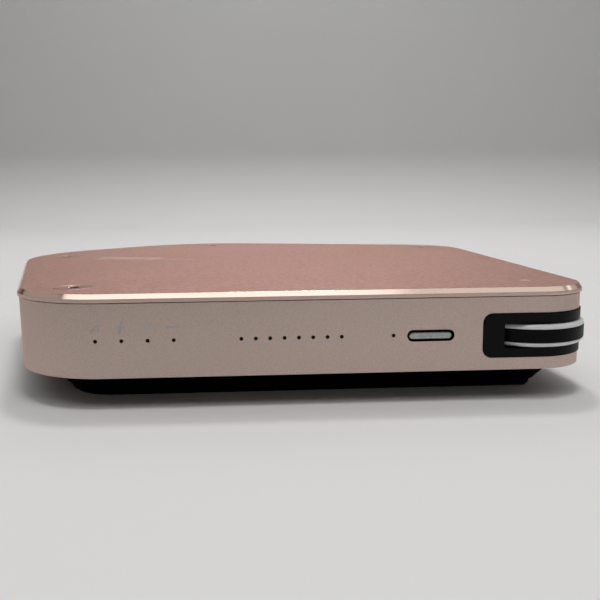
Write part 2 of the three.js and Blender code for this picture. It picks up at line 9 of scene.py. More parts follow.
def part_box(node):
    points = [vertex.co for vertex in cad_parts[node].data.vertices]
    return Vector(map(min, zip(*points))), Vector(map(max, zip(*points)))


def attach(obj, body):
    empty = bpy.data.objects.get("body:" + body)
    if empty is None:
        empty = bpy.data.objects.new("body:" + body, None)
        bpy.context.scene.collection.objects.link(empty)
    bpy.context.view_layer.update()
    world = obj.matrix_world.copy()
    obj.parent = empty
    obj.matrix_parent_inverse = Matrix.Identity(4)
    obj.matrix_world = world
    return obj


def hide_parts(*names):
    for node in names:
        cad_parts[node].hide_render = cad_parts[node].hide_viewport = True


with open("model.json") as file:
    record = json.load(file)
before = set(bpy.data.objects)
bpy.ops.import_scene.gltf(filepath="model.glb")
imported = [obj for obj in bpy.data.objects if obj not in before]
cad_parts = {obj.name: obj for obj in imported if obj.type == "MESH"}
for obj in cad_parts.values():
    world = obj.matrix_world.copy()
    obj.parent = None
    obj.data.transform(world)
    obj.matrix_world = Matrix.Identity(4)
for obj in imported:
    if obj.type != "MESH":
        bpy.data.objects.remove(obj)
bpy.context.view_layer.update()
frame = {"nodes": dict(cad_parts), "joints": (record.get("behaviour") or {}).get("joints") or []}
scene = bpy.context.scene
mm = 0.001
degree = math.pi / 180
print("frame loaded:", len(frame["nodes"]), "nodes")


# ---- Places taken from the frame ----

plateLow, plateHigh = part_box("top_plate")
frameLow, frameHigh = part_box("body_frame")
coverLow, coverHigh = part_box("base_cover")
padLow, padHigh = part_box("foot_pad")
cornerX, cornerY = plateHigh.x, plateLow.y  # the sharp corner in front of the wheel
joints = {joint["name"]: joint for joint in frame["joints"]}
wheelX, wheelY, _ = joints["wheel_spin"]["pos_m"]
buttonLow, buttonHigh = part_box("power_button")

# The outline of the top plate, walked anticlockwise from the wheel's corner
outline = {
    "longSide": 103.44 * mm,
    "shortSide": 90.76 * mm,
    "sideTurn": 73 * degree,
    "backTurn": 62 * degree,
    "wheelCornerR": 10.3 * mm,
    "sideCornerR": 19.3 * mm,
    "backCornerR": 35.5 * mm,
    "arcSteps": 28,
}
body = {"inset": 0.29 * mm, "wall": 2 * mm, "edge": 0.05 * mm}
screwPlaces = [(-96.2, 10.4), (-10.4, 96.2), (-77.5, 115.9), (-115.9, 77.5)]


def planPoint(x, y, z=0.0):  # millimetres from the sharp corner, and a height in metres
    return Vector((cornerX + x * mm, cornerY + y * mm, z))


# ---- Mesh tools ----


def outlineCorners():
    o = outline
    diagonal = math.pi / 2 + o["sideTurn"]
    backSide = math.sqrt(2) * (o["longSide"] + o["shortSide"] * (math.cos(diagonal) + math.sin(diagonal)))
    legs = [
        (o["longSide"], o["sideTurn"], o["sideCornerR"]),
        (o["shortSide"], o["backTurn"], o["backCornerR"]),
        (backSide, o["backTurn"], o["backCornerR"]),
        (o["shortSide"], o["sideTurn"], o["sideCornerR"]),
        (o["longSide"], math.pi / 2, o["wheelCornerR"]),
    ]
    at = Vector((cornerX, cornerY, 0))
    heading = math.pi / 2
    corners = []
    for length, turn, radius in legs:
        along = Vector((math.cos(heading), math.sin(heading), 0))
        inward = Vector((-along.y, along.x, 0))
        at = at + along * length
        centre = at - along * radius * math.tan(turn / 2) + inward * radius
        corners.append((centre, inward, radius, turn))
        heading += turn
    return corners


corners = outlineCorners()


# A flat face with the plate's outline, moved in by inset. Each round corner is a point spun about its centre.
def outlineFace(bm, inset, z):
    loop = []
    for centre, inward, radius, turn in corners:
        middle = Vector((centre.x, centre.y, z))
        point = bm.verts.new(middle - inward * (radius - inset))
        before = set(bm.verts)
        bmesh.ops.spin(
            bm, geom=[point], cent=middle, axis=(0, 0, 1), angle=turn, steps=outline["arcSteps"]
        )
        arc = sorted((v for v in bm.verts if v not in before), key=lambda v: (v.co - point.co).length)
        loop += [point, *arc]
    face = bm.faces.new(loop)
    face.normal_update()
    return face


def raiseFace(bm, face, z):
    made = bmesh.ops.extrude_face_region(bm, geom=[face])
    top = next(g for g in made["geom"] if isinstance(g, bmesh.types.BMFace))
    for v in top.verts:
        v.co.z = z
    return top


def insetFace(bm, face, run, rise):
    bmesh.ops.inset_region(bm, faces=[face], thickness=run, use_even_offset=True)
    bmesh.ops.translate(bm, verts=face.verts, vec=(0, 0, rise))


def outlinePrism(inset, low, high):
    bm = bmesh.new()
    face = outlineFace(bm, inset, low)
    raiseFace(bm, face, high)
    bmesh.ops.recalc_face_normals(bm, faces=bm.faces)
    return bm


def outlineRing(inset, wall, low, high):
    return carve(outlinePrism(inset, low, high), outlinePrism(inset + wall, low - mm, high + mm))


def placed(centre, turn=0.0, tilt=0.0):
    return Matrix.Translation(centre) @ Matrix.Rotation(turn, 4, "Z") @ Matrix.Rotation(tilt, 4, "X")


# A round bar from one point to another.
def addRod(bm, start, end, radius, segments=24, endRadius=None):
    start, end = Vector(start), Vector(end)
    turn = (end - start).to_track_quat("Z", "Y").to_matrix().to_4x4()
    bmesh.ops.create_cone(
        bm,
        cap_ends=True,
        segments=segments,
        radius1=radius,
        radius2=radius if endRadius is None else endRadius,
        depth=(end - start).length,
        matrix=Matrix.Translation((start + end) / 2) @ turn,
    )
    return bm


# A block with round corners, standing on its own xy plane and placed by a matrix.
def block(width, tall, depth, radius, matrix, steps=10):
    bm = bmesh.new()
    halves = ((-1, -1), (1, -1), (1, 1), (-1, 1))
    face = bm.faces.new([bm.verts.new((sx * width / 2, sy * tall / 2, 0)) for sx, sy in halves])
    bmesh.ops.bevel(
        bm,
        geom=list(face.verts),
        affect="VERTICES",
        offset=radius * 0.9999,  # just short of meeting in the middle
        segments=steps,
        profile=0.5,
        material=-1,
    )
    made = bmesh.ops.extrude_face_region(bm, geom=bm.faces[:])
    new = [v for v in made["geom"] if isinstance(v, bmesh.types.BMVert)]
    bmesh.ops.translate(bm, verts=new, vec=(0, 0, depth))
    bmesh.ops.transform(bm, matrix=matrix, verts=bm.verts)
    bmesh.ops.recalc_face_normals(bm, faces=bm.faces)
    return bm


# A solid of revolution about an upright axis. Its profile is radius and height pairs.
def turned(x, y, profile, steps):
    bm = bmesh.new()
    chain = [bm.verts.new((x + r, y, z)) for r, z in profile]
    edges = [bm.edges.new(pair) for pair in zip(chain, chain[1:])]
    bmesh.ops.spin(
        bm,
        geom=chain + edges,
        cent=(x, y, 0),
        axis=(0, 0, 1),
        angle=2 * math.pi,
        steps=steps,
        use_merge=True,
    )
    bmesh.ops.remove_doubles(bm, verts=bm.verts, dist=1e-7)
    bmesh.ops.recalc_face_normals(bm, faces=bm.faces)
    return bm


# A band that follows the two faces and the arc of the wheel's corner.
def cornerBand(inset, depth, reach, low, high, endRound):
    bm = bmesh.new()
    radius = outline["wheelCornerR"]
    centre = Vector((cornerX - radius, cornerY + radius, 0))
    ends = [bm.verts.new((centre.x, centre.y - radius + inset, z)) for z in (low, high)]
    first = bm.edges.new(ends)
    made = bmesh.ops.spin(
        bm, geom=[*ends, first], cent=centre, axis=(0, 0, 1), angle=math.pi / 2, steps=outline["arcSteps"]
    )
    last = next(g for g in made["geom_last"] if isinstance(g, bmesh.types.BMEdge))
    tips = []
    for edge, way in ((first, (radius - reach, 0, 0)), (last, (0, reach - radius, 0))):
        grown = bmesh.ops.extrude_edge_only(bm, edges=[edge])
        tip = [g for g in grown["geom"] if isinstance(g, bmesh.types.BMVert)]
        bmesh.ops.translate(bm, verts=tip, vec=way)
        tips += tip
    bmesh.ops.bevel(
        bm, geom=tips, affect="VERTICES", offset=endRound, segments=8, profile=0.5, material=-1
    )
    bmesh.ops.recalc_face_normals(bm, faces=bm.faces)
    front = min(bm.faces, key=lambda f: f.calc_center_median().x)
    if front.normal.y > 0:
        bmesh.ops.reverse_faces(bm, faces=bm.faces)
    bmesh.ops.solidify(bm, geom=bm.faces, thickness=depth)
    bmesh.ops.recalc_face_normals(bm, faces=bm.faces)
    return bm


def asObject(bm, name):
    mesh = bpy.data.meshes.new(name)
    bm.to_mesh(mesh)
    bm.free()
    made = bpy.data.objects.new(name, mesh)
    scene.collection.objects.link(made)
    return made


# The first solid with the others taken away from it, or joined to it.
def carve(bm, *others, operation="DIFFERENCE"):
    base = asObject(bm, "carving")
    tools = [asObject(other, "tool") for other in others]
    for tool in tools:
        cut = base.modifiers.new("cut", "BOOLEAN")
        cut.operation = operation
        cut.solver = "EXACT"
        cut.object = tool
    bpy.context.view_layer.update()
    result = base.evaluated_get(bpy.context.evaluated_depsgraph_get()).to_mesh()
    made = bmesh.new()
    made.from_mesh(result)
    for spent in (base, *tools):
        mesh = spent.data
        bpy.data.objects.remove(spent)
        bpy.data.meshes.remove(mesh)
    bmesh.ops.remove_doubles(made, verts=made.verts, dist=1e-7)
    return made


def joined(bm, *others):
    return carve(bm, *others, operation="UNION")


# Turns a finished bmesh into a piece that rides on its body and stands for its CAD nodes.
# Edges sharper than the angle sharp get a round of the width edge.
def makePiece(name, bm, finishes, bodyName, nodes, edge=0.0, steps=2, sharp=30):
    piece = asObject(bm, name)
    for finish in finishes:
        piece.data.materials.append(looks[finish])
    piece.data.shade_smooth()
    if edge:
        bevel = piece.modifiers.new("edges", "BEVEL")
        bevel.width = edge
        bevel.segments = steps
        bevel.limit_method = "ANGLE"
        bevel.angle_limit = sharp * degree
        bevel.use_clamp_overlap = True
    normals = piece.modifiers.new("normals", "WEIGHTED_NORMAL")
    normals.weight = 100
    normals.keep_sharp = True
    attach(piece, bodyName)
    if nodes:
        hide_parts(*nodes)


# ---- Shader tools ----


class Wire:  # a socket that takes part in Python sums
    def __init__(self, look, socket):
        self.look = look
        self.socket = socket

    def maths(self, operation, first, second):
        return self.look.node("Math", {"operation": operation}, {0: first, 1: second})

    def __add__(self, other):
        return self.maths("ADD", self, other)

    def __sub__(self, other):
        return self.maths("SUBTRACT", self, other)

    def __mul__(self, other):
        return self.maths("MULTIPLY", self, other)

    def __rsub__(self, other):
        return self.maths("SUBTRACT", other, self)

    __radd__ = __add__
    __rmul__ = __mul__


class Look:  # a material under construction
    def __init__(self, name, **constants):
        self.material = bpy.data.materials.new(name)
        self.material.use_nodes = True
        self.tree = self.material.node_tree
        self.tree.nodes.clear()
        self.shader = self.tree.nodes.new("ShaderNodeBsdfPrincipled")
        output = self.tree.nodes.new("ShaderNodeOutputMaterial")
        self.tree.links.new(self.shader.outputs[0], output.inputs[0])
        self.set(**constants)

    def feed(self, socket, value):
        if isinstance(value, Wire):
            self.tree.links.new(value.socket, socket)
        elif socket.type == "RGBA":
            socket.default_value = (*value, 1.0)
        else:
            socket.default_value = value

    def node(self, kind, settings=None, inputs=None, out=0):
        made = self.tree.nodes.new("ShaderNode" + kind)
        for key, value in (settings or {}).items():
            if key == "stops":
                ramp = made.color_ramp.elements
                while len(ramp) < len(value):
                    ramp.new(0.5)
                for element, (position, shade) in zip(ramp, value):
                    element.position = position
                    element.color = (shade, shade, shade, 1.0)
            else:
                setattr(made, key, value)
        for key, value in (inputs or {}).items():
            self.feed(made.inputs[key], value)
        return Wire(self, made.outputs[out])

    # Socket names with their blanks left out: baseColor is Base Color.
    def set(self, **values):
        plain = {socket.name.replace(" ", "").lower(): socket for socket in self.shader.inputs}
        for key, value in values.items():
            self.feed(plain[key.lower()], value)

    def coordinates(self, scale=(1, 1, 1)):
        own = self.node("TexCoord", out="Object")
        return self.node("Mapping", {}, {"Vector": own, "Scale": scale})

    def noise(self, vector, scale, detail=2.0, roughness=0.5):
        inputs = {"Vector": vector, "Scale": scale, "Detail": detail, "Roughness": roughness}
        return self.node("TexNoise", {}, inputs)

    def ramp(self, value, *stops):
        return self.node("ValToRGB", {"stops": stops}, {"Fac": value})

    def mix(self, amount, first, second):
        inputs = {"Factor": amount, "A": first, "B": second}
        made = self.tree.nodes.new("ShaderNodeMix")
        made.data_type = "RGBA"
        for key, value in inputs.items():
            wanted = "VALUE" if key == "Factor" else "RGBA"
            socket = next(s for s in made.inputs if s.name == key and s.type == wanted)
            self.feed(socket, value)
        return Wire(self, next(s for s in made.outputs if s.type == "RGBA"))

    def bump(self, height, strength, distance):
        return self.node("Bump", {}, {"Height": height, "Strength": strength, "Distance": distance})


def shades(color, spread):
    return tuple(c * (1 - spread) for c in color), tuple(min(1.0, c * (1 + spread)) for c in color)


# A metal with a fine grain, drawn out along x where stretch is large. Rim is its tint at a glancing angle.
def makeMetal(name, color, roughness, grain, stretch=1.0, bump=0.1, spread=0.03, rim=(1, 1, 1)):
    look = Look(name, metallic=1.0, specularTint=rim)
    run = look.coordinates(scale=(1 / stretch, 1, 1))
    lines = look.noise(run, grain, 3.0, 0.6)
    sparkle = look.noise(look.coordinates(), grain * 1.7, 1.0)
    cloud = look.noise(look.coordinates(), 22.0, 2.0)
    dark, light = shades(color, spread)
    look.set(baseColor=look.mix(lines * 1.8 - 0.55 + cloud * 0.3, dark, light))
    look.set(roughness=roughness + (lines - 0.5) * 0.16 + (sparkle - 0.5) * 0.1)
    look.set(normal=look.bump(lines * 0.6 + sparkle * 0.4, bump, 0.02 * mm))
    return look.material


def makePlastic(name, color, roughness, grain=4200, bump=0.12, spread=0.06, shine=0.5):
    look = Look(name, specularIORLevel=shine)
    texture = look.noise(look.coordinates(), grain, 2.0)
    cloud = look.noise(look.coordinates(), 60.0, 3.0)
    dark, light = shades(color, spread)
    look.set(baseColor=look.mix(cloud, dark, light))
    look.set(roughness=roughness + (cloud - 0.5) * 0.1 + (texture - 0.5) * 0.06)
    look.set(normal=look.bump(texture, bump, 0.03 * mm))
    return look.material


def makeBoard():
    look = Look("circuitBoard", roughness=0.35, coatWeight=0.4)
    at = look.coordinates(scale=(900, 900, 900))
    inputs = {"Vector": at, "Scale": 1.0, "Mortar Size": 0.12}
    cells = look.node("TexBrick", {"offset": 0.5}, inputs, out="Fac")
    look.set(baseColor=look.mix(cells, (0.008, 0.06, 0.022), (0.016, 0.11, 0.04)))
    look.set(normal=look.bump(cells, 0.3, 0.03 * mm))
    return look.material


def makeRubber():
    look = Look("rubber", specularIORLevel=0.04)
    pips = look.node("TexVoronoi", {}, {"Vector": look.coordinates(), "Scale": 1500.0})
    dust = look.noise(look.coordinates(), 90.0, 4.0)
    look.set(baseColor=look.mix(dust, (0.001, 0.001, 0.0011), (0.002, 0.002, 0.002)))
    look.set(roughness=0.62 + (dust - 0.5) * 0.2)
    look.set(normal=look.bump(pips, 0.25, 0.05 * mm))
    return look.material


looks = {
    "plate": makeMetal(
        "plateMetal", (0.75, 0.495, 0.437), 0.38, 1100, bump=0.5, spread=0.26, rim=(0.86, 0.63, 0.57)
    ),
    "cutEdge": makeMetal(
        "cutEdge", (0.86, 0.67, 0.57), 0.14, 6000, stretch=10, bump=0.03, rim=(0.95, 0.82, 0.74)
    ),
    "plateSide": makeMetal("plateSide", (0.64, 0.48, 0.42), 0.38, 6000, stretch=3, rim=(0.9, 0.75, 0.7)),
    "body": makeMetal(
        "bodyMetal", (0.60, 0.48, 0.425), 0.44, 3900, bump=0.6, spread=0.16, rim=(0.9, 0.8, 0.75)
    ),
    "paleRose": makeMetal("paleRoseMetal", (0.80, 0.60, 0.55), 0.45, 3000, bump=0.2),
    # black plastic parts; the same black also serves as painted shade inside the body's small openings
    "blackPlastic": makePlastic("blackPlastic", (0.0008, 0.0008, 0.0008), 0.5, shine=0.015),
    "bezel": makePlastic("bezelPlastic", (0.0032, 0.0036, 0.0035), 0.42, bump=0.05, shine=0.1),
    "rubber": makeRubber(),
    "gasket": makePlastic("gasketFoam", (0.05, 0.04, 0.036), 0.8, grain=2500, bump=0.3, shine=0.1),
    "band": makePlastic("wheelBand", (0.0024, 0.0026, 0.0028), 0.42, bump=0.08, shine=0.08),
    "wheel": makePlastic("wheelPlastic", (0.76, 0.78, 0.765), 0.34, bump=0.04),
    "print": makePlastic("signPrint", (0.49, 0.462, 0.49), 0.6, shine=0.2),
    "button": makeMetal("buttonMetal", (0.40, 0.415, 0.385), 0.34, 1900, bump=0.5, spread=0.3),
    "steel": makeMetal("polishedSteel", (0.74, 0.60, 0.58), 0.16, 5000, bump=0.03),
    "screw": makeMetal(
        "screwMetal", (0.72, 0.52, 0.47), 0.3, 3000, bump=0.2, spread=0.1, rim=(0.86, 0.66, 0.6)
    ),
    "brass": makeMetal("brass", (0.75, 0.55, 0.22), 0.28, 4000, bump=0.05),
    "board": makeBoard(),
    "chip": makePlastic("chipEpoxy", (0.015, 0.015, 0.016), 0.55),
    "lens": makePlastic("smokedLens", (0.004, 0.004, 0.0045), 0.3, bump=0.02, shine=0.15),
    "lamp": makePlastic("lampBody", (0.70, 0.69, 0.60), 0.30, bump=0.03),
    "ferrite": makePlastic("ferrite", (0.05, 0.052, 0.055), 0.70, bump=0.3),
    "foil": makeMetal("pouchFoil", (0.62, 0.64, 0.66), 0.30, 1500, bump=0.3),
    "foam": makePlastic("foam", (0.035, 0.035, 0.037), 0.90, grain=1800, bump=0.6),
    "redWire": makePlastic("redWire", (0.42, 0.02, 0.02), 0.40),
    "blackWire": makePlastic("blackWire", (0.012, 0.012, 0.012), 0.40),
}
print("materials made:", len(looks))


# ---- Top plate and what lies in it ----

plate = {
    "edgeRun": 0.63 * mm,
    "edgeRise": 0.83 * mm,
    "sinkR": 3.4 * mm,
    "sinkRim": 0.14 * mm,
    "axleHoleR": 1.22 * mm,
    "screwZoneR": 4.5 * mm,  # the sinks inside it keep the plate's own finish
    "flat": 0.9,  # a face whose normal rises less than this is cut
    "upright": 0.2,  # and less than this is the side or the underside
    "edge": 0.03 * mm,
}


def makeTopPlate():
    p = plate
    bm = bmesh.new()
    face = outlineFace(bm, 0, plateLow.z)
    face = raiseFace(bm, face, plateHigh.z - p["edgeRise"])
    insetFace(bm, face, p["edgeRun"], p["edgeRise"])
    bmesh.ops.recalc_face_normals(bm, faces=bm.faces)
    tools = []
    top = plateHigh.z + p["sinkRim"]
    reach = p["sinkR"] + 2 * p["sinkRim"]
    for x, y in screwPlaces:
        tip, mouth = planPoint(x, y, top - reach), planPoint(x, y, top)
        tools.append(addRod(bmesh.new(), tip, mouth, 0.0, segments=64, endRadius=reach))
    hole = (Vector((wheelX, wheelY, plateLow.z - mm)), Vector((wheelX, wheelY, plateHigh.z + mm)))
    tools.append(addRod(bmesh.new(), *hole, p["axleHoleR"], segments=40))
    bm = carve(bm, *tools)
    for f in bm.faces:
        centre = f.calc_center_median()
        toScrew = min((centre - planPoint(x, y, centre.z)).length for x, y in screwPlaces)
        if f.normal.z < p["flat"] and toScrew > p["screwZoneR"]:
            f.material_index = 1 if f.normal.z > p["upright"] else 2
    finishes = ["plate", "cutEdge", "plateSide"]
    makePiece("topPlate", bm, finishes, "housing", ["top_plate"], p["edge"])


plateScrew = {
    "headR": 3.4 * mm,
    "shankR": 1.75 * mm,
    "rim": 0.1 * mm,
    "socketR": 1.35 * mm,
    "socket": 1.2 * mm,
    "sunk": 0.015 * mm,
    "edge": 0.04 * mm,
}


def makePlateScrews():
    s = plateScrew
    top = plateHigh.z - s["sunk"]
    for i, (x, y) in enumerate(screwPlaces, 1):
        node = f"plate_screw_{i}"
        low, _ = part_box(node)
        at = planPoint(x, y)
        neck = top - (s["headR"] - s["shankR"])
        profile = [
            (0, low.z),
            (s["shankR"] - s["rim"], low.z),
            (s["shankR"], low.z + s["rim"]),
            (s["shankR"], neck),
            (s["headR"], top - s["rim"]),
            (s["headR"] - s["rim"], top),
            (0, top),
        ]
        screw = turned(at.x, at.y, profile, steps=64)
        socket = (at + Vector((0, 0, top - s["socket"])), at + Vector((0, 0, top + mm)))
        screw = carve(screw, addRod(bmesh.new(), *socket, s["socketR"], segments=6))
        makePiece(f"plateScrew{i}", screw, ["screw"], "housing", [node], s["edge"])


# Three plain etched lines and a hairline after them, on the plate's left side. Each line is given by where it
# starts along and across the group, its length and its height.
etched = {
    "start": (-105.5, 72),
    "turn": -14 * degree,
    "lift": 0.006 * mm,
    "depth": 0.02 * mm,
    "lines": [(0, 2.2, 17.8, 1), (0, 0, 17.8, 1), (0, -2.2, 17.8, 1), (18.6, -2.2, 9.5, 0.5)],
}


def makeEtchedLines():
    e = etched
    group = placed(planPoint(*e["start"], plateHigh.z - e["depth"]), e["turn"])
    lines = []
    for along, across, length, tall in e["lines"]:
        matrix = group @ placed(Vector((along + length / 2, across, 0)) * mm)
        lines.append(block(length * mm, tall * mm, e["depth"] + e["lift"], tall / 2.2 * mm, matrix, 6))
    makePiece("etchedLines", joined(*lines), ["paleRose"], "housing", [])


makeTopPlate()
makePlateScrews()
makeEtchedLines()
print("top plate made")


# ---- Body frame ----

frontLights = {
    "statusX": [-90.17, -85.64, -81.11, -76.58],
    "gaugeX": [-64.77 + i * 2.54 for i in range(8)],
    "powerX": [-37.7],
    "z": 12.4 * mm,
    "holeR": 0.35 * mm,
}
window = {"reach": 21.5 * mm, "low": 7.9 * mm, "high": 16.1 * mm, "endRound": 1.75 * mm}
boss = {
    "r": 4.4 * mm,
    "rib": 2.9 * mm,  # half its thickness
    "low": 7.5 * mm,
    "out": 4.4 * mm,
    "inward": 4.6 * mm,
    "drillR": 1.87 * mm,
    "drillDepth": 8 * mm,
}
portFace = {
    "turn": math.pi / 2 + outline["sideTurn"],
    "gap": 0.24 * mm,
    "wideX": [25.5, 43],
    "wideZ": 12.3 * mm,
    "wideSize": (13.2 * mm, 5.8 * mm),
    "wideCornerR": 0.7 * mm,
    "smallX": 58.8,
    "smallZ": 11.03 * mm,
    "smallSize": (8.94 * mm, 3.26 * mm),
}
# The light holes and the button's slot lie between these limits; painted shade goes on their inner faces.
smallOpenings = {"x": (-95, -25), "z": (10 * mm, 14 * mm), "front": 0.04 * mm, "back": 0.02 * mm}
button = {
    "x": (buttonLow.x + buttonHigh.x) / 2,
    "z": (buttonLow.z + buttonHigh.z) / 2,
    "width": 8 * mm,
    "tall": 1.54 * mm,
    "drop": 0.09 * mm,
    "gap": 0.28 * mm,
    "flangeEnds": 0.8 * mm,  # past each end of the cap
    "flangeSides": 0.6 * mm,  # above and below the cap
    "flangeDepth": 0.6 * mm,
    "round": 0.4 * mm,
}


def portPlace(x, z, depth):  # looks straight into the rear right face
    corner = Vector((cornerX, cornerY + outline["longSide"], 0))
    turn = Matrix.Rotation(portFace["turn"], 4, "Z")
    return Matrix.Translation(corner) @ turn @ placed((x * mm, depth, z), 0, math.pi / 2)


def makeBodyFrame():
    low, high = frameLow.z, frameHigh.z
    bm = outlineRing(body["inset"], body["wall"], low, high)
    middle = planPoint(-outline["longSide"] / 2 / mm, outline["longSide"] / 2 / mm)
    b = boss
    ribs, drills = [], []
    for x, y in screwPlaces:
        at = planPoint(x, y)
        inward = (middle - at).normalized()
        length = b["out"] + b["inward"] + 2 * b["rib"]
        centre = at + inward * (b["inward"] - b["out"]) / 2
        matrix = placed(centre + Vector((0, 0, b["low"])), math.atan2(inward.y, inward.x))
        ribs.append(block(length, 2 * b["rib"], high - b["low"], b["rib"], matrix))
        ribs.append(addRod(bmesh.new(), planPoint(x, y, b["low"]), planPoint(x, y, high), b["r"]))
        drill = (planPoint(x, y, high - b["drillDepth"]), planPoint(x, y, high + mm))
        drills.append(addRod(bmesh.new(), *drill, b["drillR"]))
    bm = joined(bm, *ribs)
    wallDepth = body["inset"] + body["wall"] + mm
    for x in frontLights["statusX"] + frontLights["gaugeX"] + frontLights["powerX"]:
        start = planPoint(x, -1, frontLights["z"])
        end = start + Vector((0, wallDepth + mm, 0))
        drills.append(addRod(bmesh.new(), start, end, frontLights["holeR"], segments=20))
    drills.append(buttonSlot())
    w = window
    drills.append(cornerBand(-mm, wallDepth + mm, w["reach"], w["low"], w["high"], w["endRound"]))
    drills += portCutters(wallDepth)
    bm = carve(bm, *drills)
    paintShadeInSmallOpenings(bm)
    # the second finish, black plastic, is painted shade on the inner faces of the small openings
    finishes = ["body", "blackPlastic"]
    makePiece("bodyFrame", bm, finishes, "housing", ["body_frame"], body["edge"])


# The faces of the small openings that run into the wall get the black finish as painted shade: it stands for
# the shadow inside the light holes and the button's slot, where the wall is really the body's own metal.
def paintShadeInSmallOpenings(bm):
    s = smallOpenings
    front = cornerY + body["inset"] + s["front"]
    back = cornerY + body["inset"] + body["wall"] - s["back"]
    left, right = (planPoint(x, 0).x for x in s["x"])
    low, high = s["z"]
    for f in bm.faces:
        c = f.calc_center_median()
        inOpening = front < c.y < back and left < c.x < right and low < c.z < high
        # painted shade: the black finish on the opening's inner walls
        if inOpening and abs(f.normal.y) < 0.5:
            f.material_index = 1


def buttonSlot():
    b = button
    tall = b["tall"] + 2 * b["gap"]
    depth = body["inset"] + body["wall"] + 2 * mm
    matrix = placed(Vector((b["x"], cornerY - mm + depth, b["z"])), 0, math.pi / 2)
    return block(b["width"] + 2 * b["gap"], tall, depth, tall / 2, matrix, steps=14)


def portCutters(wallDepth):
    p = portFace
    depth = wallDepth + mm
    width, tall = (side + 2 * p["gap"] for side in p["wideSize"])
    places = [portPlace(x, p["wideZ"], wallDepth) for x in p["wideX"]]
    cutters = [block(width, tall, depth, p["wideCornerR"], matrix) for matrix in places]
    width, tall = (side + 2 * p["gap"] for side in p["smallSize"])
    cutters.append(block(width, tall, depth, tall / 2, portPlace(p["smallX"], p["smallZ"], wallDepth)))
    return cutters


# Printed signs over the four status lights: bars of rising height, a bolt, a frame and a dash. Each stroke is
# given by its centre from the light's x and the base, its width, its height and its lean.
signs = {
    "depth": 0.02 * mm,
    "lift": 0.006 * mm,
    "cornerR": 0.08 * mm,
    "strokes": [
        [(-0.6 + i * 0.42, 14.3 + 0.15 * i, 0.2, 0.4 + 0.3 * i, 0) for i in range(4)],
        [(0.12, 15.4, 0.42, 1.3, -0.4), (0, 14.85, 1.15, 0.36, 0.25), (-0.12, 14.3, 0.42, 1.3, -0.4)],
        [(0, 15 + side * 0.45, 1.1, 0.2, 0) for side in (1, -1)]
        + [(side * 0.45, 15, 0.2, 1.1, 0) for side in (-1, 1)],
        [(0, 14.8, 2.4, 0.3, 0)],
    ],
}


def makeStatusSigns():
    s = signs
    raised = []
    for lightX, strokes in zip(frontLights["statusX"], s["strokes"]):
        for x, z, width, tall, lean in strokes:
            at = planPoint(lightX + x, 0, z * mm) + Vector((0, body["inset"] + s["depth"], 0))
            matrix = placed(at, 0, math.pi / 2) @ Matrix.Rotation(lean, 4, "Z")
            raised.append(block(width * mm, tall * mm, s["depth"] + s["lift"], s["cornerR"], matrix, 3))
    makePiece("statusSigns", joined(*raised), ["print"], "housing", [])


makeBodyFrame()
makeStatusSigns()
print("body frame made")


# ---- Gasket, base cover and foot pad ----

gasket = {"inset": 0.4 * mm, "wall": 1.6 * mm}
baseCover = {
    "inset": 4.2 * mm,
    "flangeInset": 2.41 * mm,
    "flangeRise": 0.2 * mm,
    "flangeTop": 7.2 * mm,
    "hollowInset": 8.5 * mm,
    "floor": 3.1 * mm,
    "edge": 0.35 * mm,
}
footPad = {"inset": 8.85 * mm, "run": 0.7 * mm, "rise": 0.8 * mm, "edge": 0.3 * mm, "sharp": 20}


def makeGasket():
    low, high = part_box("plate_gasket")
    bm = outlineRing(body["inset"] + gasket["inset"], gasket["wall"], low.z, high.z)
    makePiece("plateGasket", bm, ["gasket"], "housing", ["plate_gasket"])


def makeBaseCover():
    c = baseCover
    slope = frameLow.z - coverLow.z  # at 45 degrees
    bm = bmesh.new()
    face = outlineFace(bm, c["inset"], c["flangeTop"])
    face = raiseFace(bm, face, frameLow.z)
    insetFace(bm, face, slope, -slope)
    bmesh.ops.recalc_face_normals(bm, faces=bm.faces)
    bm = joined(bm, outlinePrism(c["flangeInset"], frameLow.z + c["flangeRise"], c["flangeTop"]))
    bm = carve(bm, outlinePrism(c["hollowInset"], c["floor"], coverHigh.z + mm))
    makePiece("baseCover", bm, ["blackPlastic"], "housing", ["base_cover"], c["edge"], 3)


def makeFootPad():
    f = footPad
    bm = bmesh.new()
    face = outlineFace(bm, f["inset"], padHigh.z)
    face = raiseFace(bm, face, padLow.z + f["rise"])
    insetFace(bm, face, f["run"], -f["rise"])
    bmesh.ops.recalc_face_normals(bm, faces=bm.faces)
    makePiece("footPad", bm, ["rubber"], "housing", ["foot_pad"], f["edge"], 3, f["sharp"])


makeGasket()
makeBaseCover()
makeFootPad()
print("base made")


# ---- Bezel and thumb wheel ----

bezel = {
    "proud": 0.25 * mm,
    "gap": 0.12 * mm,
    "inner": 3.3 * mm,  # where its back lies, in from the plate's outline
    "lip": 1.3 * mm,
    "lipLow": 7.4 * mm,
    "lipHigh": 17 * mm,
    "lipRound": 0.5 * mm,
    "slotReach": 17.6 * mm,
    "slotLow": 9.57 * mm,
    "slotHigh": 14.33 * mm,
    "slotRound": 0.4 * mm,
    "roomR": 11.4 * mm,
    "edge": 0.14 * mm,
}
wheel = {
    "r": 11 * mm,
    "grooveR": 10.3 * mm,
    "round": 0.79 * mm,
    "boreR": 2.66 * mm,
    "gap": 0.05 * mm,
    "steps": 160,
    "coreEdge": 0.03 * mm,
    "bandEdge": 0.1 * mm,
}


